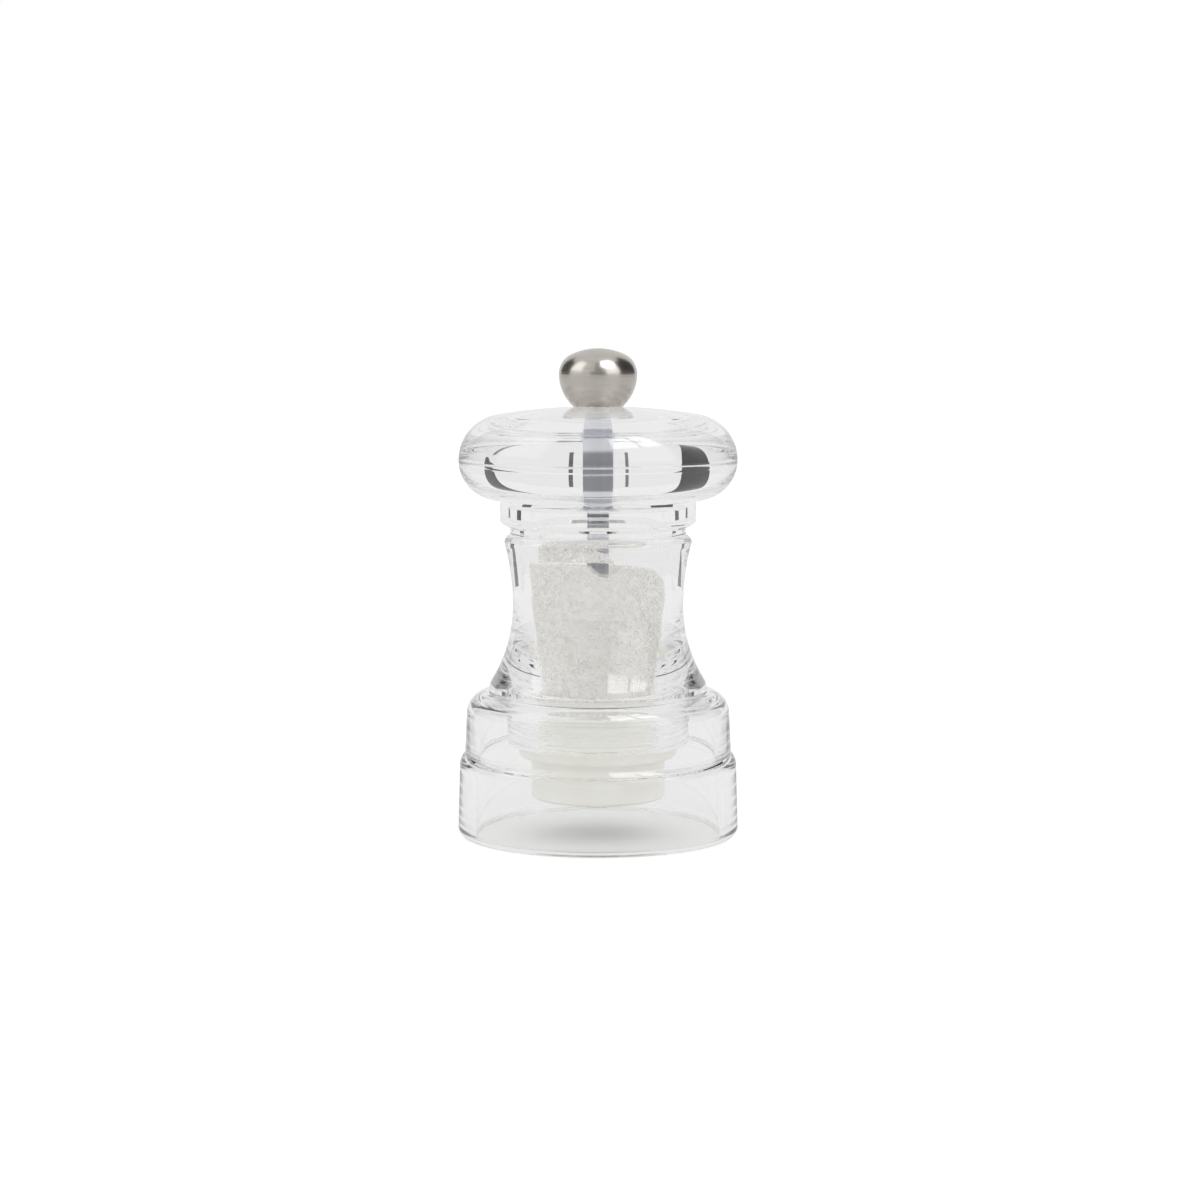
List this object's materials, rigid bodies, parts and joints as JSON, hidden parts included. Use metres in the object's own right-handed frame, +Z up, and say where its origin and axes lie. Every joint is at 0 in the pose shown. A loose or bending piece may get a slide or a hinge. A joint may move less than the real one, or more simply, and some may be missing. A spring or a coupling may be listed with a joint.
{
  "type": "salt mill",
  "caption": "Clear acrylic hand mill with a turning disk head, a steel knob that sets the grind, a square spindle and a ceramic grinder in an open base, shown filled with salt.",
  "frame": {"origin": "on the table, at the centre of the base's foot ring, on the mill's axis", "axes": "+Z up along the spindle; X and Y across, with the spindle's flat sides square to them"},
  "size_m": [0.0576, 0.0576, 0.1],
  "materials": {
    "clear_acrylic": "polished, clear and colourless",
    "salt": "loose white crystals, slightly see-through",
    "white_plastic": "moulded, smooth, warm white",
    "white_ceramic": "fired, fine and matt",
    "spring_steel": "bright drawn wire and stamped strip",
    "spindle_aluminium": "drawn bar, satin along its length",
    "knob_steel": "turned and brushed round the axis, satin"
  },
  "bodies": {
    "body": {"base_skirt": "clear_acrylic", "clear_body": "clear_acrylic", "salt_fill": "salt", "grinder_housing": "white_plastic", "stator_collar": "white_plastic", "ceramic_stator": "white_ceramic", "spindle_bridge": "white_plastic"},
    "drive": {"spindle_guide": "white_plastic", "spring": "spring_steel"},
    "spindle": {"spindle": "spindle_aluminium", "rotor_hub": "white_plastic", "ceramic_rotor": "white_ceramic", "rotor_washer": "spring_steel", "retaining_clip": "spring_steel"},
    "head": {"head": "clear_acrylic"},
    "knob": {"knob": "knob_steel"}
  },
  "joints": [
    {"name": "grind_turn", "type": "hinge", "parent": "body", "child": "drive", "pos_m": [0, 0, 0.0234], "axis": [0, 0, 1], "continuous": true},
    {"name": "grind_adjust", "type": "slide", "parent": "drive", "child": "spindle", "axis": [0, 0, 1], "range_m": [-0.0008, 0.0008], "deforming": ["spring"]},
    {"name": "head_lift", "type": "slide", "parent": "drive", "child": "head", "axis": [0, 0, 1], "range_m": [0, 0.045]},
    {"name": "knob_turn", "type": "hinge", "parent": "head", "child": "knob", "pos_m": [0, 0, 0.0882], "axis": [0, 0, 1], "range_deg": [-360, 360]}
  ],
  "couplings": [
    {"joint": "knob_turn", "follows": "grind_adjust", "rad_per_m": -7854}
  ]
}
